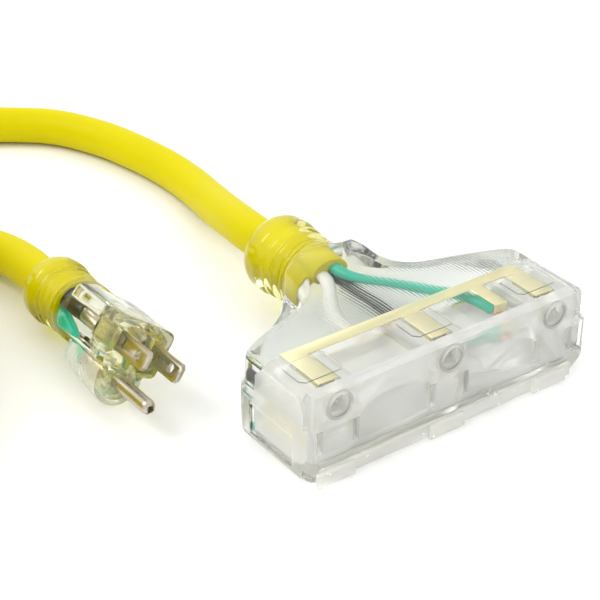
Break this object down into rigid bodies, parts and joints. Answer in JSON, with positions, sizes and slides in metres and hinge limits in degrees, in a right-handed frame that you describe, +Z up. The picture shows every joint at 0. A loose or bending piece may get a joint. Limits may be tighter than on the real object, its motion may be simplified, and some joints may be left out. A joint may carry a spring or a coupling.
{
  "type": "extension cord",
  "caption": "Heavy yellow extension cord: clear moulded block with three grounded outlets at one end, clear three-prong plug at the other.",
  "frame": {"origin": "centre of the power block's base, on the floor, without the cord and the plug", "axes": "-Y out of the outlets' face, +Y towards the block's cord, +X along the row of outlets, +Z up"},
  "size_m": [0.3602, 0.2721, 0.0582],
  "materials": {
    "clear_plastic": "clear moulded PVC, faintly aqua at its edges",
    "clear_sleeve": "clear soft PVC",
    "inner_plastic": "clear moulded inner frame",
    "tinted_plastic": "clear insert with an olive yellow tint",
    "yellow_jacket": "satin lemon yellow PVC",
    "green_insulation": "teal green PVC",
    "black_insulation": "black PVC",
    "white_insulation": "white PVC",
    "brass": "pale yellow brass, bright",
    "nickel": "nickel-plated brass",
    "copper": "bare copper strands",
    "tie_strap": "black woven hook and loop strap"
  },
  "bodies": {
    "root": {"block_body": "clear_plastic", "block_face_insert": "inner_plastic", "block_rear_insert": "inner_plastic", "block_ground_bus": "brass", "block_hot_bus": "brass", "block_neutral_bus": "brass", "block_strain_relief": "clear_sleeve", "block_jacket_end": "yellow_jacket", "plug_body": "clear_plastic", "plug_core": "tinted_plastic", "plug_blade_hot": "nickel", "plug_blade_neutral": "nickel", "plug_ground_pin": "nickel", "plug_strain_relief": "clear_sleeve", "plug_jacket_end": "yellow_jacket", "cord_lead": "yellow_jacket", "cord_coil": "yellow_jacket", "cord_tail": "yellow_jacket", "coil_tie": "tie_strap", "block_wire_green": "green_insulation", "block_strands_green": "copper", "block_wire_black": "black_insulation", "block_strands_black": "copper", "block_wire_white": "white_insulation", "block_strands_white": "copper", "plug_wire_green": "green_insulation", "plug_strands_green": "copper", "plug_wire_black": "black_insulation", "plug_strands_black": "copper", "plug_wire_white": "white_insulation", "plug_strands_white": "copper"}
  },
  "joints": []
}
